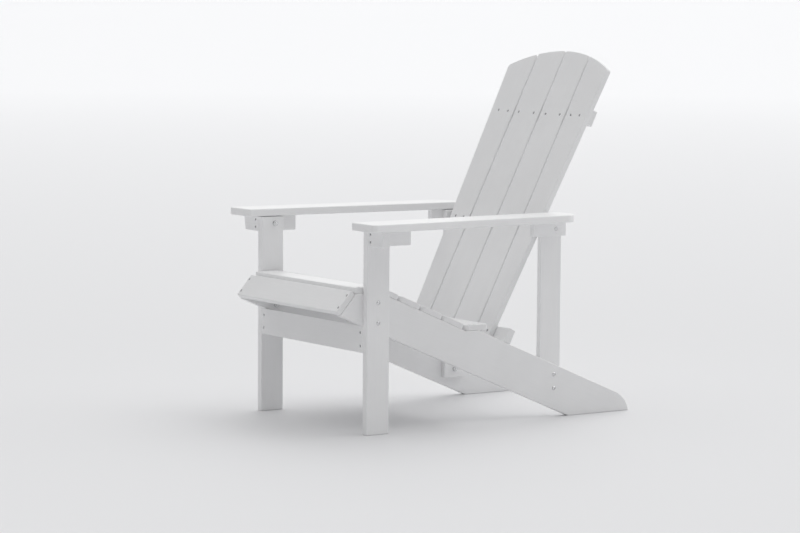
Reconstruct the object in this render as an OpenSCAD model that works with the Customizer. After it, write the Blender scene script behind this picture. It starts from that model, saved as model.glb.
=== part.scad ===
/* [Boards] */
// Thickness of the frame boards: legs, side rails, arms, cleats and braces
board_t = 20.5; // [18:0.5:22]
// Thickness of the thin boards: seat slats, back slats and rear posts
slat_t = 16; // [14:0.5:18]
// Width of the leg, post and seat slat boards
board_w = 70; // [66:1:72]
// Depth of the side rail boards
rail_d = 114.5; // [110:0.5:120]

/* [Frame] */
// Clear width between the two front legs
inner_w = 510; // [480:1:560]
// Height of the arm tops above the floor
arm_top = 560; // [540:1:580]
// Slope of the side rails in degrees
seat_slope = 23; // [22:0.5:24]
// Height of the line of the sloping seat tops, at the front face of the legs
seat_line = 411.5; // [405:0.5:420]
// Distance from the front face of the legs to the rear tip of the side rails
rail_reach = 886; // [860:1:910]
// Radius of the heel at the rear tip of the side rails
heel_r = 72; // [66:1:76]

/* [Seat] */
// Height of the level top of the second seat slat
seat_front_top = 389; // [386:0.5:391]
// Overhang of the second seat slat in front of the legs
seat_front_reach = 24; // [22:0.5:26]
// Height of the level top of the last seat slat
seat_rear_top = 269.5; // [267:0.5:272]
// Slope of the first seat slat in degrees
nose_slope = 49; // [47:0.5:51]
// Gap between the seat slats
seat_gap = 6; // [5:0.1:6]

/* [Back] */
// Lean of the back from upright in degrees
back_lean = 27.1; // [26:0.1:28]
// Where the back's front plane would meet the floor, behind the front face of the legs
back_foot = 329; // [326:0.5:332]
// Length along the back from the floor to the top of the arch
back_top = 1120; // [1080:1:1140]
// Radius of the arched top
arch_r = 520; // [480:5:600]
// Half width of the back at floor level, before it fans out
back_half = 180.8; // [176:0.2:184]
// Fan of each outer edge of the back in degrees
fan = 2.68; // [2:0.02:3]
// Width of the two inner back slats
inner_slat_w = 114.5; // [108:0.5:116]
// Gap between the back slats
back_gap = 6; // [4:0.5:8]
// How far the middle of the back is set behind its outer edges
back_dish = 7; // [4:0.5:8]

/* [Arms] */
// Width of the arm boards
arm_w = 109; // [100:1:120]
// Overhang of the arms in front of the legs
arm_front = 40; // [25:1:45]
// Distance from the front face of the legs to the rear end of the arms
arm_rear = 655; // [650:1:680]
// Distance that each arm's inner edge stands outside the legs' inner face at the front
arm_inset_front = 2; // [-4:0.5:4]
// Distance that each arm's inner edge stands outside the legs' inner face at the rear
arm_inset_rear = -34; // [-36:0.5:-18]

/* [Fasteners] */
// Shank diameter of the bolts
bolt_d = 8; // [6:1:8]
// Shank diameter of the screws
screw_d = 4; // [3:0.5:4.5]

/* [Hidden] */
$fn = 64;

lumber = [0.93, 0.93, 0.92];
steel = [0.7, 0.71, 0.72];

// Side to side, measured from the middle of the chair
leg_in = inner_w / 2;
leg_out = leg_in + board_t;
rail_in = leg_in - board_t;
post_in = rail_in - slat_t;
slat_half = leg_in - 2;
screw_x = leg_in - board_t / 2;

// The seat line runs along the tops of the sloping slats
drop = tan(seat_slope);
function line_z(y) = seat_line - drop * y;
function line_y(z) = (seat_line - z) / drop;
seat_cut = slat_t / cos(seat_slope);
rail_drop = rail_d / cos(seat_slope);
function rail_bottom_z(y) = line_z(y) - rail_drop;

// First seat slat: the top outer corner and the inner top corner of its section
nose_dir = [-cos(nose_slope), -sin(nose_slope)];
nose_in = [sin(nose_slope), -cos(nose_slope)];
nose_top = [-seat_front_reach - 10.5, seat_front_top - 8];
nose_seat = nose_top + slat_t * nose_in;

// Slats 3 to 6 start at the ridge where the level top meets the seat line
ridge_y = line_y(seat_front_top);
last_y = line_y(seat_rear_top) - 1;
slope_run = (last_y - ridge_y) / cos(seat_slope);
slope_pitch = board_w + min(seat_gap, (slope_run - 4 * board_w) / 4);

// Each seat slat's section: front top corner and the turn of its top, in degrees
function seat_place(i) =
    i == 1 ? [nose_top + board_w * nose_dir, nose_slope] :
    i == 2 ? [[-seat_front_reach, seat_front_top], 0] :
    i == 7 ? [[last_y, seat_rear_top], 0] :
    let (s = 0.4 + (i - 3) * slope_pitch)
    [[ridge_y + s * cos(seat_slope), seat_front_top - s * sin(seat_slope)], -seat_slope];
// Screw rows across each slat, from its front edge
function seat_rows(i) = i == 7 ? [12, 30] : [15, board_w - 15];

// Heel circle: touches the seat line and meets the floor at the rear tip
heel_a = seat_line - heel_r / cos(seat_slope);
heel_b = rail_reach + heel_a * drop;
heel_c = 1 + drop * drop;
heel_q = heel_b * heel_b - heel_c * (rail_reach * rail_reach + heel_a * heel_a - heel_r * heel_r);
heel_y = (heel_b - sqrt(heel_q)) / heel_c;
heel_z = heel_a - drop * heel_y;
heel_touch = heel_y + heel_r * sin(seat_slope);

// Ends of the whole chair, front to back, and the shift that centres it
front_y = nose_top[0] + board_w * nose_dir[0];
shift_y = -(front_y + rail_reach) / 2;

// Arms, brackets and cleats
arm_low = arm_top - board_t;
cleat_h = 42.5;
cleat_len = 102;
bracket_h = 42;
bracket_out = leg_out + 74.5;
bracket_slant = 7;
leg_top_gap = 1.5;
leg_h = arm_low - leg_top_gap;
rear_cleat_y = 553;
rear_cleat_len = 108;
// Round of each arm's corners: front inner, front outer, rear outer, rear inner
arm_corners = [8, 14, 53, 20];
post_y = rear_cleat_y + rear_cleat_len - board_w;
post_low = 55;

// Apron under the side rails, in line with the front of the legs
apron_low = 215.5;
apron_cleat_w = 38;

// Back, in its own leaning frame: X across, Y backwards, Z up along the slats
slat_low = 246;
// Rounds at the top of the slats: at the outer edges and at the seams
outer_corner_r = 12;
seam_corner_r = 5;
seam_1 = back_gap / 2 + inner_slat_w + back_gap / 2;
inner_turn = atan(back_dish * 0.287 / seam_1);
outer_turn = atan(back_dish * 0.71 / 100);
seam_depth = back_dish * 0.713;
function edge_x(s) = back_half + s * tan(fan);
function rear_depth(x) = x < seam_1
    ? slat_t + back_dish - x * tan(inner_turn)
    : slat_t + seam_depth - (x - seam_1) * tan(outer_turn);
brace_rear = 36;
middle_rear = 38;
upper_rear = 33;
lower_brace = [253, 293];
middle_brace = [568, 613];
upper_brace = [904, 948.5];
brace_rows = [272, 590.5, 924];
brace_bolt_s = 596;
brace_bolt_t = 30;
barrel_in = 24;
// Where a point of the leaning frame lies, front to back and in height
function lean_y(s, t) = back_foot + s * sin(back_lean) + t * cos(back_lean);
function lean_z(s, t) = s * cos(back_lean) - t * sin(back_lean);
// Length along the back at which a depth t stands on the side rails
function rail_s(t) = (line_z(back_foot) + t * (sin(back_lean) - drop * cos(back_lean)))
    / (cos(back_lean) + drop * sin(back_lean));

// Fasteners
bolt_hole = bolt_d + 0.4;
screw_hole_d = screw_d + 0.2;
bolt_head_d = bolt_d * 1.6;
bolt_head_h = bolt_d * 0.53;
nut_w = bolt_d * 1.625;
nut_h = bolt_d * 0.8;
bolt_tip = 7;
washer_d = bolt_d * 2;
washer_t = 1.6;
screw_head_d = screw_d * 2;
screw_head_h = 2.2;
screw_sink = 0.8;
leg_bolt_y = board_w / 2;
leg_bolt_z = [295, 348];
cleat_bolt = [42.5, 519];
post_bolt_z = [80, 118];
seat_screw_len = 30;
back_screw_len = 25;
bracket_screw_len = 40;
apron_screw_len = 32;
apron_cleat_screw_len = 35;
arm_screw_len = 54;
brace_screw_len = 64;

module chair_frame() {
    translate([0, shift_y, 0]) children();
}

module on_side(left) {
    mirror([left ? 0 : 1, 0, 0]) children();
}

module both_sides() {
    on_side(true) children();
    on_side(false) children();
}

// Extrudes an outline drawn in Y and Z along X
module side_profile(x0, x1) {
    translate([x0, 0, 0]) rotate([90, 0, 90]) linear_extrude(x1 - x0) children();
}

module back_frame() {
    translate([0, back_foot, 0]) rotate([-back_lean, 0, 0]) children();
}

// Convex outline with a round of its own radius at each corner
module rounded_outline(pts, radii) {
    n = len(pts);
    corners = [for (i = [0 : n - 1]) let (
        p = pts[i],
        u = (pts[(i + n - 1) % n] - p) / norm(pts[(i + n - 1) % n] - p),
        v = (pts[(i + 1) % n] - p) / norm(pts[(i + 1) % n] - p),
        half = acos(u * v) / 2,
        t = radii[i] / tan(half),
        mid = (u + v) / norm(u + v))
        [p + t * u, p + t * v, p + mid * radii[i] / sin(half)]];
    polygon([for (c = corners) each [c[0], c[1]]]);
    for (i = [0 : n - 1]) translate(corners[i][2]) circle(radii[i]);
}

// ---- Fastener shapes: the head's seat is at Z = 0 and the shank runs down -Z ----

module bolt(shank) {
    ball_r = (bolt_head_d * bolt_head_d / 4 + bolt_head_h * bolt_head_h) / (2 * bolt_head_h);
    difference() {
        union() {
            intersection() {
                translate([0, 0, bolt_head_h - ball_r]) sphere(ball_r);
                cylinder(d = bolt_head_d, h = bolt_head_h);
            }
            translate([0, 0, -shank]) cylinder(d = bolt_d, h = shank + 0.5);
        }
        translate([0, 0, bolt_head_h * 0.4]) cylinder(d = bolt_d * 0.72, h = bolt_head_h, $fn = 6);
    }
}

module nut() {
    difference() {
        cylinder(d = nut_w / cos(30), h = nut_h, $fn = 6);
        translate([0, 0, -1]) cylinder(d = bolt_d + 0.1, h = nut_h + 2);
    }
}

module washer() {
    difference() {
        cylinder(d = washer_d, h = washer_t);
        translate([0, 0, -1]) cylinder(d = bolt_hole, h = washer_t + 2);
    }
}

module screw(length) {
    translate([0, 0, -screw_sink]) difference() {
        union() {
            translate([0, 0, -screw_head_h]) cylinder(d = screw_head_d, h = screw_head_h);
            translate([0, 0, screw_sink - length]) cylinder(d = screw_d, h = length - screw_sink - 0.5);
        }
        translate([0, 0, -1.4]) cylinder(d = screw_d * 0.9, h = 2, $fn = 6);
    }
}

module screw_hole(length) {
    translate([0, 0, -screw_sink - screw_head_h]) cylinder(d = screw_head_d + 0.4, h = 6);
    translate([0, 0, -length - 1]) cylinder(d = screw_hole_d, h = length);
}

// ---- Fastener places, for the left side where there are two sides ----

module at_frame_bolts() {
    for (z = leg_bolt_z) translate([leg_out, leg_bolt_y, z]) rotate([0, 90, 0]) children();
    translate([leg_out + board_t, cleat_bolt[0], cleat_bolt[1]]) rotate([0, 90, 0]) children();
}

module at_post_bolts() {
    for (z = post_bolt_z)
        translate([leg_in, post_y + board_w / 2, z]) rotate([0, 90, 0]) children();
}

module at_brace_bolts() {
    translate([leg_in, lean_y(brace_bolt_s, brace_bolt_t), lean_z(brace_bolt_s, brace_bolt_t)])
        rotate([0, 90, 0]) children();
}

module at_seat_screws(i) {
    place = seat_place(i);
    for (row = seat_rows(i))
        translate([screw_x, place[0][0], place[0][1]]) rotate([place[1], 0, 0])
            translate([0, row, 0]) children();
}

// Two screws across each back slat: i is 0 for an inner slat and 1 for an outer one
function back_screw_xs(i, s) = i == 0
    ? [seam_1 / 2 - 35, seam_1 / 2 + 35]
    : [seam_1 + 25, seam_1 + 21 + 0.45 * (edge_x(s) - seam_1)];

module at_back_screws(i) {
    for (s = brace_rows, x = back_screw_xs(i, s))
        back_frame() back_slat_frame(i) translate([x, 0, s]) rotate([90, 0, 0]) children();
}

module at_bracket_screws() {
    for (z = [508.5, 529]) translate([leg_out + 13, 0, z]) rotate([90, 0, 0]) children();
}

module at_apron_screws() {
    for (z = [233, 268.5]) translate([leg_in - 12.5, 0, z]) rotate([90, 0, 0]) children();
}

module at_apron_cleat_screws() {
    for (z = [229, 251])
        translate([rail_in, board_t + apron_cleat_w / 2, z]) rotate([0, -90, 0]) children();
}

module at_arm_screws() {
    for (y = [66, 106]) translate([leg_out + board_t / 2, y, arm_low - cleat_h]) rotate([180, 0, 0])
        children();
    for (y = [568, 598]) translate([screw_x, y, arm_low - cleat_h]) rotate([180, 0, 0]) children();
    translate([leg_out + 50, board_t / 2, arm_low - bracket_h]) rotate([180, 0, 0]) children();
}

module at_lower_brace_screws() {
    back_frame() translate([screw_x, (rear_depth(screw_x) + brace_rear) / 2, lower_brace[1]])
        children();
}

// ---- Frame boards ----

module front_leg() {
    color(lumber) difference() {
        translate([leg_in, 0, 0]) cube([board_t, board_w, leg_h]);
        at_frame_bolts() translate([0, 0, -3 * board_t]) cylinder(d = bolt_hole, h = 4 * board_t);
        at_apron_cleat_screws() screw_hole(apron_cleat_screw_len);
    }
}

module rail_outline() {
    nose_cut = nose_seat - nose_dir * ((seat_front_top - slat_t - nose_seat[1]) / -nose_dir[1]);
    toe_t = (nose_seat[1] - rail_bottom_z(nose_seat[0])) / (-nose_dir[1] + drop * -nose_dir[0]);
    toe = nose_seat + toe_t * nose_dir;
    polygon([
        toe,
        [(seat_line - rail_drop) / drop, 0],
        [heel_touch, 0],
        [heel_touch, line_z(heel_touch)],
        [line_y(seat_rear_top - slat_t), seat_rear_top - slat_t],
        [line_y(seat_rear_top - slat_t + seat_cut), seat_rear_top - slat_t],
        [line_y(seat_front_top - slat_t + seat_cut), seat_front_top - slat_t],
        nose_cut
    ]);
    intersection() {
        translate([heel_y, heel_z]) circle(heel_r, $fn = 128);
        translate([heel_touch - 5, 0]) square([heel_r * 2, heel_r * 2]);
    }
}

module side_rail() {
    color(lumber) difference() {
        side_profile(rail_in, leg_in) rail_outline();
        at_frame_bolts() translate([0, 0, -3 * board_t]) cylinder(d = bolt_hole, h = 4 * board_t);
        at_post_bolts() translate([0, 0, -3 * board_t]) cylinder(d = bolt_hole, h = 4 * board_t);
        for (i = [1 : 7]) at_seat_screws(i) screw_hole(seat_screw_len);
        at_lower_brace_screws() screw_hole(brace_screw_len);
    }
}

module arm() {
    front = leg_in + arm_inset_front;
    rear = leg_in + arm_inset_rear;
    color(lumber) difference() {
        translate([0, 0, arm_low]) linear_extrude(board_t)
            rounded_outline(
                [[front, -arm_front], [front + arm_w, -arm_front], [rear + arm_w, arm_rear], [rear, arm_rear]],
                arm_corners);
        at_arm_screws() screw_hole(arm_screw_len);
    }
}

module arm_bracket() {
    low = arm_low - bracket_h;
    color(lumber) difference() {
        translate([0, board_t, 0]) rotate([90, 0, 0]) linear_extrude(board_t)
            polygon([
                [leg_out, low],
                [bracket_out - bracket_slant, low],
                [bracket_out, arm_low],
                [leg_out, arm_low]
            ]);
        at_bracket_screws() screw_hole(bracket_screw_len);
        at_arm_screws() screw_hole(arm_screw_len);
    }
}

module front_cleat() {
    color(lumber) difference() {
        translate([leg_out, board_t, arm_low - cleat_h]) cube([board_t, cleat_len, cleat_h]);
        at_frame_bolts() translate([0, 0, -3 * board_t]) cylinder(d = bolt_hole, h = 4 * board_t);
        at_bracket_screws() screw_hole(bracket_screw_len);
        at_arm_screws() screw_hole(arm_screw_len);
    }
}

module rear_cleat() {
    color(lumber) difference() {
        translate([rail_in, rear_cleat_y, arm_low - cleat_h]) cube([board_t, rear_cleat_len, cleat_h]);
        at_brace_bolts() translate([0, 0, -3 * board_t]) cylinder(d = bolt_hole, h = 4 * board_t);
        at_arm_screws() screw_hole(arm_screw_len);
    }
}

module rear_post() {
    color(lumber) difference() {
        translate([post_in, post_y, post_low]) cube([slat_t, board_w, leg_h - post_low]);
        at_post_bolts() translate([0, 0, -3 * board_t]) cylinder(d = bolt_hole, h = 4 * board_t);
        at_brace_bolts() translate([0, 0, -3 * board_t]) cylinder(d = bolt_hole, h = 4 * board_t);
    }
}

module front_apron() {
    color(lumber) difference() {
        side_profile(-leg_in, leg_in) polygon([
            [0, apron_low],
            [board_t, apron_low],
            [board_t, rail_bottom_z(board_t)],
            [0, rail_bottom_z(0)]
        ]);
        both_sides() at_apron_screws() screw_hole(apron_screw_len);
    }
}

module apron_cleat() {
    rear = board_t + apron_cleat_w;
    color(lumber) difference() {
        side_profile(rail_in, leg_in) polygon([
            [board_t, apron_low],
            [rear, apron_low],
            [rear, rail_bottom_z(rear)],
            [board_t, rail_bottom_z(board_t)]
        ]);
        at_apron_screws() screw_hole(apron_screw_len);
        at_apron_cleat_screws() screw_hole(apron_cleat_screw_len);
    }
}

// ---- Seat ----

module seat_slat(i) {
    place = seat_place(i);
    corner_r = i == 1 ? 3 : 9;
    color(lumber) difference() {
        translate([0, place[0][0], place[0][1]]) rotate([place[1], 0, 0])
            translate([0, 0, -slat_t]) linear_extrude(slat_t)
                rounded_outline(
                    [[-slat_half, 0], [slat_half, 0], [slat_half, board_w], [-slat_half, board_w]],
                    [corner_r, corner_r, corner_r, corner_r]);
        both_sides() at_seat_screws(i) screw_hole(seat_screw_len);
    }
}

// ---- Back ----

// Turns a slat about its inner seam so that the back is slightly dished
module back_slat_frame(i) {
    if (i == 0) translate([0, back_dish, 0]) rotate([0, 0, -inner_turn]) children();
    else translate([seam_1, seam_depth, 0]) rotate([0, 0, -outer_turn]) translate([-seam_1, 0, 0])
        children();
}

// Rounds the corner where the arch meets an edge that leans outwards by f from x0
module arch_corner(x0, f, side, r) {
    base = back_top - arch_r;
    a = x0 - side * r / cos(f);
    b = tan(f);
    p = base - a * b;
    q = a * a + base * base - (arch_r - r) * (arch_r - r);
    s = (p + sqrt(p * p - (1 + b * b) * q)) / (1 + b * b);
    mid = [a + b * s, s];
    out = (mid - [0, base]) / (arch_r - r);
    on_edge = mid + side * r * [cos(f), -sin(f)];
    difference() {
        children();
        polygon([
            mid,
            on_edge,
            on_edge + 3 * r * [sin(f), cos(f)],
            mid + 3 * r * out,
            mid + r * out
        ]);
    }
    translate(mid) circle(r);
}

module back_slat_outline(i) {
    inside = i == 0 ? back_gap / 2 : seam_1 + back_gap / 2;
    outside = i == 0 ? seam_1 - back_gap / 2 : back_half;
    lean_out = i == 0 ? 0 : fan;
    arch_corner(outside, lean_out, 1, i == 0 ? seam_corner_r : outer_corner_r)
    arch_corner(inside, 0, -1, seam_corner_r)
    intersection() {
        polygon([
            [inside, slat_low],
            [outside + slat_low * tan(lean_out), slat_low],
            [outside + back_top * tan(lean_out), back_top],
            [inside, back_top]
        ]);
        translate([0, back_top - arch_r]) union() {
            circle(arch_r, $fn = 256);
            translate([-arch_r, -2 * arch_r]) square([2 * arch_r, 2 * arch_r]);
        }
    }
}

module back_slat(i) {
    color(lumber) difference() {
        back_frame() back_slat_frame(i) translate([0, slat_t, 0]) rotate([90, 0, 0])
            linear_extrude(slat_t) back_slat_outline(i);
        at_back_screws(i) screw_hole(back_screw_len);
    }
}

// A brace seen from above: its front follows the rear faces of the slats
module back_brace(half, rear, low, high) {
    front = [for (x = [-half, -seam_1, 0, seam_1, half]) [x, rear_depth(abs(x))]];
    translate([0, 0, low]) linear_extrude(high - low)
        polygon([each front, [half, rear], [-half, rear]]);
}

module brace_screw_holes() {
    both_sides() for (i = [0, 1]) at_back_screws(i) screw_hole(back_screw_len);
}

module upper_back_brace() {
    color(lumber) difference() {
        back_frame() back_brace(edge_x(upper_brace[0]) - 2, upper_rear, upper_brace[0], upper_brace[1]);
        brace_screw_holes();
    }
}

module middle_back_brace() {
    color(lumber) difference() {
        back_frame() back_brace(post_in, middle_rear, middle_brace[0], middle_brace[1]);
        brace_screw_holes();
        both_sides() {
            at_brace_bolts() translate([0, 0, -board_t - slat_t - barrel_in - bolt_tip - 0.5])
                cylinder(d = bolt_hole, h = barrel_in + 100);
            barrel_place() cylinder(d = 10.2, h = 20);
        }
    }
}

// Its lower edge is bevelled to stand flat on the side rails
module lower_back_brace() {
    color(lumber) difference() {
        back_frame() intersection() {
            back_brace(leg_in, brace_rear, lower_brace[0] - 20, lower_brace[1]);
            side_profile(-leg_in - 1, leg_in + 1) polygon([
                [0, rail_s(0)],
                [brace_rear + 4, rail_s(brace_rear + 4)],
                [brace_rear + 4, lower_brace[1] + 1],
                [0, lower_brace[1] + 1]
            ]);
        }
        brace_screw_holes();
        both_sides() at_lower_brace_screws() screw_hole(brace_screw_len);
    }
}

// ---- Fasteners ----

module frame_bolts() {
    color(steel) both_sides() at_frame_bolts() bolt(2 * board_t + washer_t + nut_h + 2);
}

module post_bolts() {
    color(steel) both_sides() at_post_bolts() bolt(board_t + slat_t + washer_t + nut_h + 2);
}

module brace_bolts() {
    color(steel) both_sides() at_brace_bolts() bolt(board_t + slat_t + barrel_in + bolt_tip);
}

module bolt_washers() {
    color(steel) both_sides() {
        at_frame_bolts() translate([0, 0, -2 * board_t - washer_t]) washer();
        at_post_bolts() translate([0, 0, -board_t - slat_t - washer_t]) washer();
    }
}

module bolt_nuts() {
    color(steel) both_sides() {
        at_frame_bolts() translate([0, 0, -2 * board_t - washer_t - nut_h]) nut();
        at_post_bolts() translate([0, 0, -board_t - slat_t - washer_t - nut_h]) nut();
    }
}

// Cross nuts in the middle brace, set from its rear face
module barrel_place() {
    back_frame() translate([post_in - barrel_in, middle_rear - 17, brace_bolt_s]) rotate([-90, 0, 0])
        children();
}

module barrel_nuts() {
    color(steel) both_sides() difference() {
        barrel_place() cylinder(d = 10, h = 16.5);
        at_brace_bolts() translate([0, 0, -100]) cylinder(d = bolt_d + 0.1, h = 100);
        barrel_place() translate([-1, -4, 15.5]) cube([2, 8, 2]);
    }
}

module seat_screws() {
    color(steel) both_sides() for (i = [1 : 7]) at_seat_screws(i) screw(seat_screw_len);
}

module back_screws() {
    color(steel) both_sides() for (i = [0, 1]) at_back_screws(i) screw(back_screw_len);
}

module bracket_screws() {
    color(steel) both_sides() at_bracket_screws() screw(bracket_screw_len);
}

module apron_screws() {
    color(steel) both_sides() at_apron_screws() screw(apron_screw_len);
}

module apron_cleat_screws() {
    color(steel) both_sides() at_apron_cleat_screws() screw(apron_cleat_screw_len);
}

module arm_screws() {
    color(steel) both_sides() at_arm_screws() screw(arm_screw_len);
}

module lower_brace_screws() {
    color(steel) both_sides() at_lower_brace_screws() screw(brace_screw_len);
}

// ---- One line for each node ----

chair_frame() on_side(true) front_leg();  // left_front_leg
chair_frame() on_side(false) front_leg();  // right_front_leg
chair_frame() on_side(true) side_rail();  // left_side_rail
chair_frame() on_side(false) side_rail();  // right_side_rail
chair_frame() on_side(true) arm();  // left_arm
chair_frame() on_side(false) arm();  // right_arm
chair_frame() on_side(true) arm_bracket();  // left_arm_bracket
chair_frame() on_side(false) arm_bracket();  // right_arm_bracket
chair_frame() on_side(true) front_cleat();  // left_front_cleat
chair_frame() on_side(false) front_cleat();  // right_front_cleat
chair_frame() on_side(true) rear_cleat();  // left_rear_cleat
chair_frame() on_side(false) rear_cleat();  // right_rear_cleat
chair_frame() on_side(true) rear_post();  // left_rear_post
chair_frame() on_side(false) rear_post();  // right_rear_post
chair_frame() front_apron();
chair_frame() on_side(true) apron_cleat();  // left_apron_cleat
chair_frame() on_side(false) apron_cleat();  // right_apron_cleat
chair_frame() seat_slat(1);  // seat_slat_1
chair_frame() seat_slat(2);  // seat_slat_2
chair_frame() seat_slat(3);  // seat_slat_3
chair_frame() seat_slat(4);  // seat_slat_4
chair_frame() seat_slat(5);  // seat_slat_5
chair_frame() seat_slat(6);  // seat_slat_6
chair_frame() seat_slat(7);  // seat_slat_7
chair_frame() on_side(true) back_slat(1);  // back_slat_1
chair_frame() on_side(true) back_slat(0);  // back_slat_2
chair_frame() on_side(false) back_slat(0);  // back_slat_3
chair_frame() on_side(false) back_slat(1);  // back_slat_4
chair_frame() upper_back_brace();
chair_frame() middle_back_brace();
chair_frame() lower_back_brace();
chair_frame() frame_bolts();
chair_frame() post_bolts();
chair_frame() brace_bolts();
chair_frame() bolt_washers();
chair_frame() bolt_nuts();
chair_frame() barrel_nuts();
chair_frame() seat_screws();
chair_frame() back_screws();
chair_frame() bracket_screws();
chair_frame() apron_screws();
chair_frame() apron_cleat_screws();
chair_frame() arm_screws();
chair_frame() lower_brace_screws();
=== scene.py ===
import math

import bmesh
import bpy
from mathutils import Matrix, Vector


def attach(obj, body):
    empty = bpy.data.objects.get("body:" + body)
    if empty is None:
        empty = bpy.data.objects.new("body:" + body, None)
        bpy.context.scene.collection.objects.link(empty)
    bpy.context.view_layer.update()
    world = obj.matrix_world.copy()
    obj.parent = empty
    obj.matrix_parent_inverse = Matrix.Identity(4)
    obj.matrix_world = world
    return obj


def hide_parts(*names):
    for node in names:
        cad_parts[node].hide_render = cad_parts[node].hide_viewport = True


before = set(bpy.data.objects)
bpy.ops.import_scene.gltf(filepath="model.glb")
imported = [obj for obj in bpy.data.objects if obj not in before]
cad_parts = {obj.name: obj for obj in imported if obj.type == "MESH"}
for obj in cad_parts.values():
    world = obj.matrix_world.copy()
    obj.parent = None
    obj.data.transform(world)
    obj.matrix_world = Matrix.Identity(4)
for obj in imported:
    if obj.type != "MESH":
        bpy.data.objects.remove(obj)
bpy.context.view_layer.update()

# angles that the tilted boards share, the same as in the solids
seatSlope = math.radians(23)
backLean = math.radians(27.1)
alongRail = Vector((0, math.cos(seatSlope), -math.sin(seatSlope)))
aboveRail = Vector((0, math.sin(seatSlope), math.cos(seatSlope)))
alongBack = Vector((0, math.sin(backLean), math.cos(backLean)))
acrossChair = Vector((1, 0, 0))
frontToRear = Vector((0, 1, 0))
upright = Vector((0, 0, 1))


# ---- camera ----

cameraView = {
    "place": (6.58491, -4.53890, 1.16126),
    "turn": (84.5808, -0.3977, 56.1474),
    "lens": 131.146,
    "sensor": 36,
}


def addCamera():
    data = bpy.data.cameras.new("studioCamera")
    data.lens = cameraView["lens"]
    data.sensor_width = cameraView["sensor"]
    data.clip_end = 2000
    camera = bpy.data.objects.new("studioCamera", data)
    camera.location = cameraView["place"]
    camera.rotation_euler = [math.radians(a) for a in cameraView["turn"]]
    bpy.context.scene.collection.objects.link(camera)
    bpy.context.scene.camera = camera


addCamera()
print("camera placed")


# ---- materials ----

lumberLook = {
    "white": (0.90, 0.90, 0.905, 1),
    "shade": (0.845, 0.845, 0.85, 1),
    "roughness": (0.36, 0.54),
    "sheen": 0.42,
    "grainStretch": 0.035,   # how much coarser the grain is along the board
    "grainSize": 420,
    "pebbleSize": 1500,
    "bumpDepth": 0.00035,
}

steelLook = {
    "color": (0.82, 0.825, 0.83, 1),
    "dark": (0.58, 0.585, 0.59, 1),
    "roughness": (0.16, 0.32),
}


def addNode(tree, kind, x, y, **sockets):
    node = tree.nodes.new(kind)
    node.location = (x, y)
    for name, value in sockets.items():
        node.inputs[name.replace("_", " ")].default_value = value
    return node


def mapRange(tree, source, low, high, toLow, toHigh, x, y):
    node = tree.nodes.new("ShaderNodeMapRange")
    node.location = (x, y)
    node.inputs["From Min"].default_value = low
    node.inputs["From Max"].default_value = high
    node.inputs["To Min"].default_value = toLow
    node.inputs["To Max"].default_value = toHigh
    tree.links.new(source, node.inputs["Value"])
    return node.outputs["Result"]


def mathNode(tree, operation, a, b, x, y):
    node = tree.nodes.new("ShaderNodeMath")
    node.operation = operation
    node.location = (x, y)
    for socket, value in zip(node.inputs, (a, b)):
        if isinstance(value, (int, float)):
            socket.default_value = value
        else:
            tree.links.new(value, socket)
    return node.outputs[0]


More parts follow.
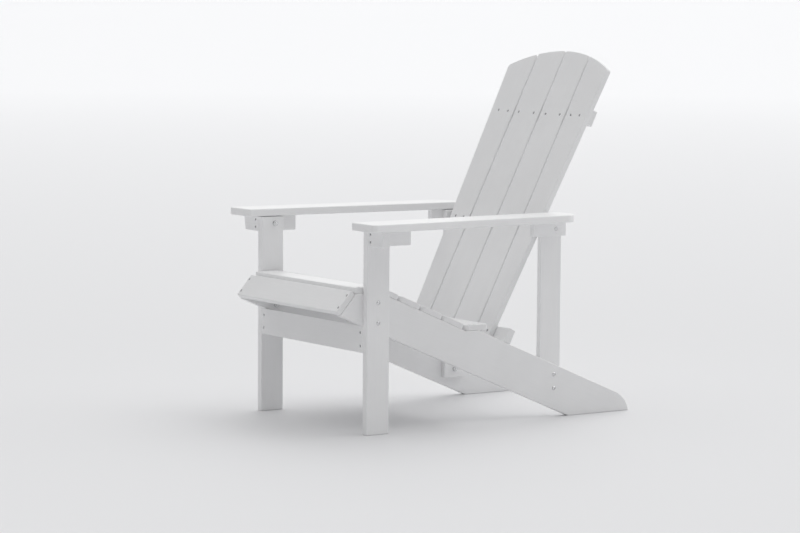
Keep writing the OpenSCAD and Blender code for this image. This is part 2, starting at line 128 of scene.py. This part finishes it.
# White plastic lumber: fine drawn grain along the board, and saw marks where it is cut across
def lumberMaterial(name, grain):
    material = bpy.data.materials.new(name)
    material.use_nodes = True
    tree = material.node_tree
    link = tree.links.new
    shader = tree.nodes["Principled BSDF"]
    shader.inputs["Specular IOR Level"].default_value = lumberLook["sheen"]

    coords = tree.nodes.new("ShaderNodeTexCoord")
    coords.location = (-1500, 0)
    turn = upright.rotation_difference(grain).inverted().to_euler()
    lay = addNode(tree, "ShaderNodeMapping", -1300, 100)
    lay.vector_type = "POINT"
    lay.inputs["Rotation"].default_value = turn
    link(coords.outputs["Object"], lay.inputs["Vector"])
    stretch = addNode(tree, "ShaderNodeMapping", -1100, 100)
    stretch.inputs["Scale"].default_value = (1, 1, lumberLook["grainStretch"])
    link(lay.outputs["Vector"], stretch.inputs["Vector"])

    grainNoise = addNode(tree, "ShaderNodeTexNoise", -880, 260,
                         Scale=lumberLook["grainSize"], Detail=4.0, Roughness=0.62, Distortion=0.35)
    link(stretch.outputs["Vector"], grainNoise.inputs["Vector"])
    broadNoise = addNode(tree, "ShaderNodeTexNoise", -880, 20, Scale=7.0, Detail=3.0, Roughness=0.55)
    link(coords.outputs["Object"], broadNoise.inputs["Vector"])
    pebble = addNode(tree, "ShaderNodeTexNoise", -880, -220, Scale=lumberLook["pebbleSize"], Detail=2.0)
    link(coords.outputs["Object"], pebble.inputs["Vector"])
    smudge = addNode(tree, "ShaderNodeTexNoise", -880, -460, Scale=38.0, Detail=5.0, Roughness=0.7)
    link(coords.outputs["Object"], smudge.inputs["Vector"])

    # cut ends face along the grain
    facing = tree.nodes.new("ShaderNodeVectorMath")
    facing.operation = "DOT_PRODUCT"
    facing.location = (-1100, -700)
    link(coords.outputs["Normal"], facing.inputs[0])
    facing.inputs[1].default_value = grain
    cut = mapRange(tree, mathNode(tree, "ABSOLUTE", facing.outputs["Value"], 0, -920, -700),
                   0.82, 0.94, 0, 1, -740, -700)
    saw = addNode(tree, "ShaderNodeTexWave", -880, -900, Scale=260.0, Distortion=1.6, Detail=2.0)
    saw.bands_direction = "DIAGONAL"
    link(lay.outputs["Vector"], saw.inputs["Vector"])

    worn = tree.nodes.new("ShaderNodeAttribute")
    worn.attribute_name = "easedEdge"
    worn.location = (-880, -1120)
    wornPatch = mathNode(tree, "MULTIPLY", worn.outputs["Fac"],
                         mapRange(tree, smudge.outputs["Fac"], 0.45, 0.62, 0, 1, -640, -1120), -440, -1120)

    tone = mathNode(tree, "ADD", mapRange(tree, broadNoise.outputs["Fac"], 0.3, 0.7, 0, 0.55, -640, 60),
                    mapRange(tree, grainNoise.outputs["Fac"], 0.35, 0.75, 0, 0.45, -640, 260), -440, 160)
    tone = mathNode(tree, "ADD", tone, mathNode(tree, "MULTIPLY", cut, 0.30, -440, -600), -260, 160)
    paler = mathNode(tree, "MULTIPLY", wornPatch, 0.35, -260, -1120)
    tone = mathNode(tree, "SUBTRACT", tone, paler, -100, 160)
    paint = tree.nodes.new("ShaderNodeMix")
    paint.data_type = "RGBA"
    paint.clamp_factor = True
    paint.location = (80, 200)
    paint.inputs["A"].default_value = lumberLook["white"]
    paint.inputs["B"].default_value = lumberLook["shade"]
    link(tone, paint.inputs["Factor"])
    link(paint.outputs["Result"], shader.inputs["Base Color"])

    low, high = lumberLook["roughness"]
    rough = mapRange(tree, smudge.outputs["Fac"], 0.3, 0.7, low, high, -640, -460)
    rough = mathNode(tree, "ADD", rough, mathNode(tree, "MULTIPLY", cut, 0.16, -440, -760), -260, -460)
    smoother = mathNode(tree, "MULTIPLY", wornPatch, 0.1, -260, -960)
    rough = mathNode(tree, "SUBTRACT", rough, smoother, -100, -460)
    link(rough, shader.inputs["Roughness"])

    along = mathNode(tree, "MULTIPLY", grainNoise.outputs["Fac"],
                     mathNode(tree, "SUBTRACT", 1, cut, -440, -860), -260, -240)
    height = mathNode(tree, "ADD", along,
                      mathNode(tree, "MULTIPLY", pebble.outputs["Fac"], 0.35, -640, -240), -100, -240)
    sawn = mathNode(tree, "MULTIPLY", mathNode(tree, "MULTIPLY", saw.outputs["Fac"], cut, -640, -900),
                    0.9, -440, -980)
    height = mathNode(tree, "ADD", height, sawn, 60, -240)
    bump = addNode(tree, "ShaderNodeBump", 240, -240, Strength=0.55, Distance=lumberLook["bumpDepth"])
    link(height, bump.inputs["Height"])
    link(bump.outputs["Normal"], shader.inputs["Normal"])
    return material


# Stainless steel with fine turning marks around the bolt and scattered dull spots
def steelMaterial(name):
    material = bpy.data.materials.new(name)
    material.use_nodes = True
    tree = material.node_tree
    link = tree.links.new
    shader = tree.nodes["Principled BSDF"]
    shader.inputs["Metallic"].default_value = 1.0
    coords = tree.nodes.new("ShaderNodeTexCoord")
    coords.location = (-900, 0)
    fine = addNode(tree, "ShaderNodeTexNoise", -700, 160, Scale=1900.0, Detail=3.0, Roughness=0.7)
    link(coords.outputs["Object"], fine.inputs["Vector"])
    spots = addNode(tree, "ShaderNodeTexNoise", -700, -120, Scale=420.0, Detail=4.0, Roughness=0.6)
    link(coords.outputs["Object"], spots.inputs["Vector"])
    paint = tree.nodes.new("ShaderNodeMix")
    paint.data_type = "RGBA"
    paint.location = (-200, 160)
    paint.inputs["A"].default_value = steelLook["color"]
    paint.inputs["B"].default_value = steelLook["dark"]
    link(mapRange(tree, spots.outputs["Fac"], 0.42, 0.7, 0, 1, -440, -40), paint.inputs["Factor"])
    link(paint.outputs["Result"], shader.inputs["Base Color"])
    low, high = steelLook["roughness"]
    link(mapRange(tree, fine.outputs["Fac"], 0.3, 0.7, low, high, -440, 240), shader.inputs["Roughness"])
    bump = addNode(tree, "ShaderNodeBump", -200, -240, Strength=0.3, Distance=0.00005)
    link(fine.outputs["Fac"], bump.inputs["Height"])
    link(bump.outputs["Normal"], shader.inputs["Normal"])
    return material


lumberAcross = lumberMaterial("whiteLumberAcross", acrossChair)
lumberAlong = lumberMaterial("whiteLumberAlong", frontToRear)
lumberUpright = lumberMaterial("whiteLumberUpright", upright)
lumberRail = lumberMaterial("whiteLumberRail", alongRail)
lumberBack = lumberMaterial("whiteLumberBack", alongBack)
stainless = steelMaterial("stainlessSteel")
print("materials ready")


# ---- fasteners ----

screwShape = {
    "headRadius": 0.0040,
    "sink": 0.0008,          # how far the head sits below the board's face
    "headHeight": 0.0022,
    "shankRadius": 0.0020,
    "driveRadius": 0.0021,
    "segments": 24,
}

boltShape = {
    "radius": 0.0040,
    "headRadius": 0.0064,
    "headHeight": 0.00424,
    "socketRadius": 0.0029,
    "threadPitch": 0.00125,
    "segments": 36,
}

nutShape = {"flatRadius": 0.0065, "height": 0.0064, "bore": 0.00405, "segments": 36}
washerShape = {"radius": 0.0080, "thickness": 0.0016, "bore": 0.0042, "segments": 36}

holeShape = {
    "pocketRadius": 0.0042,
    "pocketDepth": 0.0030,
    "rimRadius": 0.0047,     # the rim is pressed in a little around the head
    "rimDepth": 0.0005,
    "shankRadius": 0.0021,
    "boltRadius": 0.0042,
    "boltEntry": 0.02,       # how far the drill starts outside the bolt's seat
    "overrun": 0.0005,
    "segments": 24,
}

barrelShape = {
    "radius": 0.0050,
    "length": 0.0165,
    "holeRadius": 0.0051,
    "holeEntry": 0.003,
    "holeDepth": 0.0167,
    "holeSegments": 22,
}


def roundRing(angle):
    return 1.0


def hexRing(angle):
    return 1 / math.cos((angle + math.pi / 6) % (math.pi / 3) - math.pi / 6)


def starRing(angle):
    return 0.86 + 0.14 * math.cos(6 * angle)


# Stacks rings of equal count and bridges each to the next; the ends are capped unless the stack is closed
def ringStack(bm, rings, segments, closed=False):
    loops = []
    for outline, radius, height in rings:
        made = bmesh.ops.create_circle(bm, segments=segments, radius=radius)["verts"]
        for v in made:
            size = outline(math.atan2(v.co.y, v.co.x))
            v.co = Vector((v.co.x * size, v.co.y * size, height))
        inRing = set(made)
        loops.append([e for e in {e for v in made for e in v.link_edges} if set(e.verts) <= inRing])
    pairs = list(zip(loops, loops[1:] + loops[:1])) if closed else list(zip(loops, loops[1:]))
    for a, b in pairs:
        bmesh.ops.bridge_loops(bm, edges=a + b)
    if not closed:
        for loop in (loops[0], loops[-1]):
            bmesh.ops.contextual_create(bm, geom=loop)
    bmesh.ops.recalc_face_normals(bm, faces=bm.faces)


# The head's top is at zero and the shank runs down
def screwMesh(bm, length):
    s = screwShape
    top = 0.0
    rings = [
        (starRing, s["driveRadius"] * 0.82, top - 0.0015),
        (starRing, s["driveRadius"], top),
        (roundRing, s["headRadius"] - 0.0004, top),
        (roundRing, s["headRadius"] - 0.0001, top - 0.0001),
        (roundRing, s["headRadius"], top - 0.0004),
        (roundRing, s["headRadius"], top - s["headHeight"] + 0.0002),
        (roundRing, s["shankRadius"], top - s["headHeight"]),
        (roundRing, s["shankRadius"], top - length + 0.004),
        (roundRing, s["shankRadius"] * 0.2, top - length),
    ]
    ringStack(bm, rings, s["segments"])


def boltMesh(bm, length):
    s = boltShape
    domeRadius = (s["headRadius"] ** 2 + s["headHeight"] ** 2) / (2 * s["headHeight"])
    rings = [(hexRing, s["socketRadius"] * 0.97, s["headHeight"] * 0.38)]
    flat = s["socketRadius"] * 1.3
    flatHeight = domeRadius * math.cos(math.asin(flat / domeRadius)) - domeRadius + s["headHeight"]
    rings.append((hexRing, s["socketRadius"], flatHeight))
    rings.append((roundRing, flat, flatHeight))
    steps = 5
    for i in range(1, steps + 1):
        r = flat + (s["headRadius"] * 0.985 - flat) * i / steps
        height = domeRadius * math.cos(math.asin(r / domeRadius)) - domeRadius + s["headHeight"]
        rings.append((roundRing, r, height))
    rings.append((roundRing, s["headRadius"] * 0.985, 0.0))
    rings.append((roundRing, s["radius"], 0.0))
    threadStart = length - 9 * s["threadPitch"]
    rings.append((roundRing, s["radius"], -threadStart))
    for i in range(8):
        z = threadStart + i * s["threadPitch"]
        rings.append((roundRing, s["radius"] * 0.88, -(z + s["threadPitch"] * 0.5)))
        rings.append((roundRing, s["radius"], -(z + s["threadPitch"])))
    rings.append((roundRing, s["radius"] * 0.8, -length))
    ringStack(bm, rings, s["segments"])


def nutMesh(bm):
    s = nutShape
    corner = s["flatRadius"] / math.cos(math.pi / 6)
    chamfer = 0.0007

    def eased(angle):
        return min(hexRing(angle) * s["flatRadius"], s["flatRadius"] * 1.03) / s["flatRadius"]

    rings = [
        (roundRing, s["bore"] + 0.0005, 0.0),
        (eased, s["flatRadius"] * 0.99, 0.0),
        (hexRing, s["flatRadius"], (corner - s["flatRadius"]) * 0.6 + chamfer * 0.3),
        (hexRing, s["flatRadius"], s["height"] - (corner - s["flatRadius"]) * 0.6 - chamfer * 0.3),
        (eased, s["flatRadius"] * 0.99, s["height"]),
        (roundRing, s["bore"] + 0.0005, s["height"]),
        (roundRing, s["bore"], s["height"] - 0.0005),
        (roundRing, s["bore"], 0.0005),
    ]
    ringStack(bm, rings, s["segments"], closed=True)


def washerMesh(bm):
    s = washerShape
    ease = 0.0002
    section = [
        (s["bore"], ease),
        (s["bore"] + ease, 0.0),
        (s["radius"] - ease, 0.0),
        (s["radius"], ease),
        (s["radius"], s["thickness"] - ease),
        (s["radius"] - ease, s["thickness"]),
        (s["bore"] + ease, s["thickness"]),
        (s["bore"], s["thickness"] - ease),
    ]
    verts = [bm.verts.new((r, 0, z)) for r, z in section]
    edges = [bm.edges.new(pair) for pair in zip(verts, verts[1:] + verts[:1])]
    bmesh.ops.spin(bm, geom=verts + edges, cent=(0, 0, 0), axis=(0, 0, 1), dvec=(0, 0, 0),
                   angle=2 * math.pi, steps=s["segments"], use_merge=True)
    bmesh.ops.recalc_face_normals(bm, faces=bm.faces)


def barrelMesh(bm):
    rings = [
        (roundRing, 0.0016, 0.0006),
        (roundRing, 0.0019, 0.0),
        (roundRing, 0.0046, 0.0),
        (roundRing, barrelShape["radius"], -0.0004),
        (roundRing, barrelShape["radius"], 0.0004 - barrelShape["length"]),
        (roundRing, 0.0046, -barrelShape["length"]),
    ]
    ringStack(bm, rings, 24)


# The loose solids of a CAD node, each as a list of points
def looseParts(node):
    bm = bmesh.new()
    bm.from_mesh(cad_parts[node].data)
    bmesh.ops.remove_doubles(bm, verts=bm.verts, dist=1e-6)
    seen, parts = set(), []
    for start in bm.verts:
        if start in seen:
            continue
        seen.add(start)
        found, queue = [], [start]
        while queue:
            v = queue.pop()
            found.append(v.co.copy())
            for e in v.link_edges:
                other = e.other_vert(v)
                if other not in seen:
                    seen.add(other)
                    queue.append(other)
        parts.append(found)
    bm.free()
    return sorted(parts, key=lambda points: tuple(round(c, 5) for c in middleOf(points)))


def middleOf(points):
    low = Vector([min(p[i] for p in points) for i in range(3)])
    high = Vector([max(p[i] for p in points) for i in range(3)])
    return (low + high) / 2


# Where a screw or bolt is: the middle of its head's outer end, the way it faces, and its length
def pinPlace(points):
    far = max(points, key=lambda p: (p - points[0]).length)
    near = max(points, key=lambda p: (p - far).length)
    axis = (near - far).normalized()
    for _ in range(4):   # the ends' middles settle on the true axis in a few rounds
        reach = [p.dot(axis) for p in points]
        low, high = min(reach), max(reach)
        bottom = middleOf([p for p, r in zip(points, reach) if r < low + 0.0004])
        top = middleOf([p for p, r in zip(points, reach) if r > high - 0.0004])
        axis = (top - bottom).normalized()

    def widest(end):
        return max((p - end - axis * (p - end).dot(axis)).length for p in points
                   if abs((p - end).dot(axis)) < 0.0026)

    if widest(bottom) > widest(top):
        top, bottom, axis = bottom, top, -axis
    return top, axis, (top - bottom).length


def placing(point, axis):
    return Matrix.Translation(point) @ upright.rotation_difference(axis).to_matrix().to_4x4()


def finishPiece(bm, name, material, nodes, smoothAngle=32):
    mesh = bpy.data.meshes.new(name)
    bm.to_mesh(mesh)
    bm.free()
    piece = bpy.data.objects.new(name, mesh)
    bpy.context.scene.collection.objects.link(piece)
    mesh.materials.append(material)
    mesh.shade_smooth()
    mesh.set_sharp_from_angle(angle=math.radians(smoothAngle))
    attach(piece, "root")
    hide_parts(*nodes)
    return piece


# One shape at every place of a CAD node's fasteners
def fastenerPiece(name, node, build, places):
    bm = bmesh.new()
    for place, size in places:
        one = bmesh.new()
        build(one, *size)
        bmesh.ops.transform(one, matrix=place, verts=one.verts)
        scratch = bpy.data.meshes.new("scratch")
        one.to_mesh(scratch)
        one.free()
        bm.from_mesh(scratch)
        bpy.data.meshes.remove(scratch)
    return finishPiece(bm, name, stainless, [node])


pins = []   # every screw and bolt: head point, axis, length and whether it is a screw
for node in ("seat_screws", "back_screws", "bracket_screws", "apron_screws", "apron_cleat_screws",
             "arm_screws", "lower_brace_screws"):
    places = [pinPlace(points) for points in looseParts(node)]
    pins += [(top, axis, length, True) for top, axis, length in places]
    fastenerPiece(node.replace("_s", "S").replace("_c", "C").replace("_b", "B"), node, screwMesh,
                  [(placing(top, axis), (length,)) for top, axis, length in places])

for node in ("frame_bolts", "post_bolts", "brace_bolts"):
    seats = []
    for points in looseParts(node):
        top, axis, length = pinPlace(points)
        seats.append((top - axis * boltShape["headHeight"], axis, length - boltShape["headHeight"]))
    pins += [(top, axis, length, False) for top, axis, length in seats]
    fastenerPiece(node.replace("_b", "B"), node, boltMesh,
                  [(placing(top, axis), (length,)) for top, axis, length in seats])

for name, node, build, thickness in (("boltWashers", "bolt_washers", washerMesh, washerShape["thickness"]),
                                     ("boltNuts", "bolt_nuts", nutMesh, nutShape["height"])):
    middles = [middleOf(points) for points in looseParts(node)]
    fastenerPiece(name, node, build,
                  [(placing(m - acrossChair * thickness / 2, acrossChair), ()) for m in middles])

rearward = Vector((0, math.cos(backLean), -math.sin(backLean)))
barrels = []
for points in looseParts("barrel_nuts"):
    reach = [p.dot(rearward) for p in points]
    axisPoint = middleOf(points)
    axisPoint += rearward * (max(reach) - axisPoint.dot(rearward))
    barrels.append(axisPoint)
fastenerPiece("barrelNuts", "barrel_nuts", barrelMesh, [(placing(p, rearward), ()) for p in barrels])
print("fasteners made:", len(pins), "screws and bolts")


# ---- boards ----

edgeLook = {
    "legs": 0.0024,
    "rails": 0.0024,
    "arms": 0.0034,
    "slats": 0.0024,
    "small": 0.0018,
    "segments": 3,
}


def mergedCopy(node):
    bm = bmesh.new()
    bm.from_mesh(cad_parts[node].data)
    bmesh.ops.remove_doubles(bm, verts=bm.verts, dist=1e-6)
    return bm


# A board with no hollow in its outline: the hull of its solid, without the holes
def hullBoard(node):
    bm = mergedCopy(node)
    hull = bmesh.ops.convex_hull(bm, input=bm.verts)
    keep = {g for g in hull["geom"] if isinstance(g, bmesh.types.BMFace)}
    bmesh.ops.delete(bm, geom=[f for f in bm.faces if f not in keep], context="FACES")
    bmesh.ops.delete(bm, geom=[v for v in bm.verts if not v.link_faces], context="VERTS")
    bmesh.ops.dissolve_limit(bm, angle_limit=math.radians(0.4), verts=bm.verts, edges=bm.edges)
    bmesh.ops.recalc_face_normals(bm, faces=bm.faces)
    return bm


# A board sawn to an outline: a section through its solid, drawn out to the board's full width
def sawnBoard(node, across, part):
    bm = mergedCopy(node)
    reach = [v.co.dot(across) for v in bm.verts]
    low, high = min(reach), max(reach)
    cut = low + (high - low) * part
    bmesh.ops.bisect_plane(bm, geom=bm.verts[:] + bm.edges[:] + bm.faces[:],
                           plane_co=across * cut, plane_no=across, clear_inner=True, clear_outer=True)
    bmesh.ops.remove_doubles(bm, verts=bm.verts, dist=1e-6)
    loops, left = [], set(bm.edges)
    while left:
        loop, queue = set(), [left.pop()]
        while queue:
            e = queue.pop()
            loop.add(e)
            for v in e.verts:
                for other in v.link_edges:
                    if other in left:
                        left.discard(other)
                        queue.append(other)
        loops.append(loop)
    outline = max(loops, key=lambda loop: sum(e.calc_length() for e in loop))
    bmesh.ops.delete(bm, geom=[e for e in bm.edges if e not in outline], context="EDGES")
    bmesh.ops.delete(bm, geom=[v for v in bm.verts if not v.link_edges], context="VERTS")
    face = bmesh.ops.contextual_create(bm, geom=bm.edges)["faces"][0]
    bmesh.ops.dissolve_limit(bm, angle_limit=math.radians(0.2), verts=bm.verts, edges=bm.edges)
    bmesh.ops.translate(bm, vec=across * (low - cut), verts=bm.verts)
    grown = bmesh.ops.extrude_face_region(bm, geom=bm.faces[:])["geom"]
    bmesh.ops.translate(bm, vec=across * (high - low),
                        verts=[g for g in grown if isinstance(g, bmesh.types.BMVert)])
    bmesh.ops.recalc_face_normals(bm, faces=bm.faces)
    return bm


def easeEdges(bm, radius):
    worn = bm.faces.layers.float.new("easedEdge")
    sharp = [e for e in bm.edges if e.is_manifold and e.calc_face_angle(0) > math.radians(28)]
    made = bmesh.ops.bevel(bm, geom=sharp, offset=radius, offset_type="OFFSET", segments=edgeLook["segments"],
                           profile=0.5, affect="EDGES", material=-1, loop_slide=True, clamp_overlap=False)
    for f in made["faces"]:
        f[worn] = 1.0


# Adds a stack of rings to bm at its place
def addShape(bm, rings, segments, place):
    one = bmesh.new()
    ringStack(one, rings, segments)
    bmesh.ops.transform(one, matrix=place, verts=one.verts)
    scratch = bpy.data.meshes.new("scratch")
    one.to_mesh(scratch)
    one.free()
    bm.from_mesh(scratch)
    bpy.data.meshes.remove(scratch)


# Cuts the shapes in bm out of the piece; they must not cross one another
def carve(piece, bm):
    if not bm.verts:
        bm.free()
        return
    drillMesh = bpy.data.meshes.new("drills")
    bm.to_mesh(drillMesh)
    bm.free()
    drills = bpy.data.objects.new("drills", drillMesh)
    bpy.context.scene.collection.objects.link(drills)
    drill = piece.modifiers.new("drill", "BOOLEAN")
    drill.operation = "DIFFERENCE"
    drill.solver = "EXACT"
    drill.object = drills
    view = bpy.context.evaluated_depsgraph_get()
    result = bpy.data.meshes.new_from_object(piece.evaluated_get(view), depsgraph=view)
    piece.modifiers.clear()
    old = piece.data
    piece.data = result
    result.name = old.name
    bpy.data.meshes.remove(old)
    bpy.data.objects.remove(drills)
    bpy.data.meshes.remove(drillMesh)


# Cuts the holes for every screw and bolt that meets the board
def drillBoard(piece):
    corners = [Vector(c) for c in piece.bound_box]
    low = Vector([min(c[i] for c in corners) for i in range(3)])
    high = Vector([max(c[i] for c in corners) for i in range(3)])
    s = holeShape
    bm = bmesh.new()
    for top, axis, length, isScrew in pins:
        steps = [top - axis * (length * i / 12) for i in range(13)]
        if not any(all(low[i] - 0.001 < p[i] < high[i] + 0.001 for i in range(3)) for p in steps):
            continue
        if isScrew:
            face = screwShape["sink"]
            rings = [
                (roundRing, s["rimRadius"] + 0.002, face + 0.002),
                (roundRing, s["rimRadius"], face),
                (roundRing, s["pocketRadius"], face - s["rimDepth"]),
                (roundRing, s["pocketRadius"], face - s["pocketDepth"]),
                (roundRing, s["shankRadius"], face - s["pocketDepth"] - 0.0001),
                (roundRing, s["shankRadius"], -length - 0.001),
            ]
        else:
            rings = [
                (roundRing, s["boltRadius"], s["boltEntry"]),
                (roundRing, s["boltRadius"], -length - s["overrun"]),
            ]
        addShape(bm, rings, s["segments"], placing(top, axis))
    carve(piece, bm)
    if "middleBackBrace" in piece.name:
        b = barrelShape
        bm = bmesh.new()
        for p in barrels:
            rings = [
                (roundRing, b["holeRadius"], b["holeEntry"]),
                (roundRing, b["holeRadius"], -b["holeDepth"]),
            ]
            addShape(bm, rings, b["holeSegments"], placing(p, rearward))
        carve(piece, bm)


def boardName(node):
    words = node.split("_")
    return words[0] + "".join(w.capitalize() for w in words[1:])


def addBoard(node, bm, radius, material):
    easeEdges(bm, radius)
    if node == "middle_back_brace":   # flat faces, which its crossing holes need to be cut cleanly
        bmesh.ops.triangulate(bm, faces=bm.faces)
    name = boardName(node)
    mesh = bpy.data.meshes.new(name)
    bm.to_mesh(mesh)
    bm.free()
    piece = bpy.data.objects.new(name, mesh)
    bpy.context.scene.collection.objects.link(piece)
    mesh.materials.append(material)
    bpy.context.view_layer.update()
    drillBoard(piece)
    piece.data.shade_smooth()
    piece.data.set_sharp_from_angle(angle=math.radians(34))
    soften = piece.modifiers.new("evenShading", "WEIGHTED_NORMAL")
    soften.keep_sharp = True
    soften.weight = 100
    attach(piece, "root")
    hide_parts(node)
    return piece


sides = ("left", "right")
for side in sides:
    addBoard(side + "_front_leg", hullBoard(side + "_front_leg"), edgeLook["legs"], lumberUpright)
    addBoard(side + "_rear_post", hullBoard(side + "_rear_post"), edgeLook["slats"], lumberUpright)
    addBoard(side + "_arm", hullBoard(side + "_arm"), edgeLook["arms"], lumberAlong)
    addBoard(side + "_arm_bracket", hullBoard(side + "_arm_bracket"), edgeLook["small"], lumberAcross)
    addBoard(side + "_front_cleat", hullBoard(side + "_front_cleat"), edgeLook["small"], lumberAlong)
    addBoard(side + "_rear_cleat", hullBoard(side + "_rear_cleat"), edgeLook["small"], lumberAlong)
    addBoard(side + "_apron_cleat", hullBoard(side + "_apron_cleat"), edgeLook["small"], lumberUpright)
    # a section near the inner face, clear of the screw holes
    rail = sawnBoard(side + "_side_rail", acrossChair, 0.12 if side == "left" else 0.88)
    addBoard(side + "_side_rail", rail, edgeLook["rails"], lumberRail)
print("frame boards made")

addBoard("front_apron", hullBoard("front_apron"), edgeLook["small"], lumberAcross)
for i in range(1, 8):
    addBoard(f"seat_slat_{i}", hullBoard(f"seat_slat_{i}"), edgeLook["slats"], lumberAcross)
print("seat made")

for i in range(1, 5):
    addBoard(f"back_slat_{i}", hullBoard(f"back_slat_{i}"), edgeLook["slats"], lumberBack)
for name in ("upper_back_brace", "middle_back_brace"):
    addBoard(name, sawnBoard(name, alongBack, 0.06), edgeLook["small"], lumberAcross)


# The lower brace is bevelled underneath to stand on the side rails
def lowerBrace():
    bm = sawnBoard("lower_back_brace", alongBack, 0.97)
    solid = mergedCopy("lower_back_brace")
    bottom = min(v.co.dot(aboveRail) for v in solid.verts)
    solid.free()
    # lengthened downwards first, so that the cut meets only the upright walls
    low = min(v.co.dot(alongBack) for v in bm.verts)
    bmesh.ops.translate(bm, vec=alongBack * -0.01,
                        verts=[v for v in bm.verts if v.co.dot(alongBack) < low + 0.001])
    bmesh.ops.bisect_plane(bm, geom=bm.verts[:] + bm.edges[:] + bm.faces[:],
                           plane_co=aboveRail * bottom, plane_no=aboveRail, clear_inner=True)
    bmesh.ops.contextual_create(bm, geom=[e for e in bm.edges if e.is_boundary])
    bmesh.ops.recalc_face_normals(bm, faces=bm.faces)
    return bm


addBoard("lower_back_brace", lowerBrace(), edgeLook["small"], lumberAcross)
print("back made")


# ---- studio ----

studioLook = {
    "floorRadius": 900,
    # the floor's colour is painted darker near the chair and paler far off: painted shade and painted light
    # standing in for the studio light's falloff
    "floor": (0.77, 0.77, 0.78, 1),
    "floorFarPaintedLight": (0.965, 0.967, 0.98, 1),
    "sky": (0.99, 0.995, 1.0, 1),
    "skyStrength": 0.43,
    "overhead": 1.15,
    "overheadPlace": (-0.6, 0.6, 4.0),
    "rear": 1.25,
    "rearPlace": (-1.2, 4.0, 1.9),
    "lightSpread": 100,        # degrees across, for soft shadows
}


def addStudio():
    world = bpy.data.worlds.new("softStudio")
    world.use_nodes = True
    world.node_tree.nodes["Background"].inputs["Color"].default_value = studioLook["sky"]
    world.node_tree.nodes["Background"].inputs["Strength"].default_value = studioLook["skyStrength"]
    bpy.context.scene.world = world
    bpy.context.scene.view_settings.view_transform = "Standard"

    bm = bmesh.new()
    bmesh.ops.create_circle(bm, cap_ends=True, segments=96, radius=studioLook["floorRadius"])
    mesh = bpy.data.meshes.new("floor")
    bm.to_mesh(mesh)
    bm.free()
    floor = bpy.data.objects.new("floor", mesh)
    bpy.context.scene.collection.objects.link(floor)
    material = bpy.data.materials.new("paleFloorPaintedRamp")
    material.use_nodes = True
    tree = material.node_tree
    shader = tree.nodes["Principled BSDF"]
    shader.inputs["Roughness"].default_value = 0.7
    shader.inputs["Specular IOR Level"].default_value = 0.2
    coords = tree.nodes.new("ShaderNodeTexCoord")
    length = tree.nodes.new("ShaderNodeVectorMath")
    length.operation = "LENGTH"
    tree.links.new(coords.outputs["Object"], length.inputs[0])
    # painted light and shade: the floor's colour ramps with distance, from a darker near colour to a paler
    # far colour, in place of the studio light's falloff
    paint = tree.nodes.new("ShaderNodeMix")
    paint.data_type = "RGBA"
    paint.inputs["A"].default_value = studioLook["floor"]
    paint.inputs["B"].default_value = studioLook["floorFarPaintedLight"]
    tree.links.new(mapRange(tree, length.outputs["Value"], 2.0, 25.0, 0, 1, 0, 0), paint.inputs["Factor"])
    tree.links.new(paint.outputs["Result"], shader.inputs["Base Color"])
    mesh.materials.append(material)

    for name in ("overhead", "rear"):
        place = Vector(studioLook[name + "Place"])
        data = bpy.data.lights.new(name + "Light", "SUN")
        data.energy = studioLook[name]
        data.angle = math.radians(studioLook["lightSpread"])
        light = bpy.data.objects.new(name + "Light", data)
        light.location = place
        light.rotation_euler = place.to_track_quat("Z", "Y").to_euler()
        bpy.context.scene.collection.objects.link(light)


addStudio()
print("studio lit")
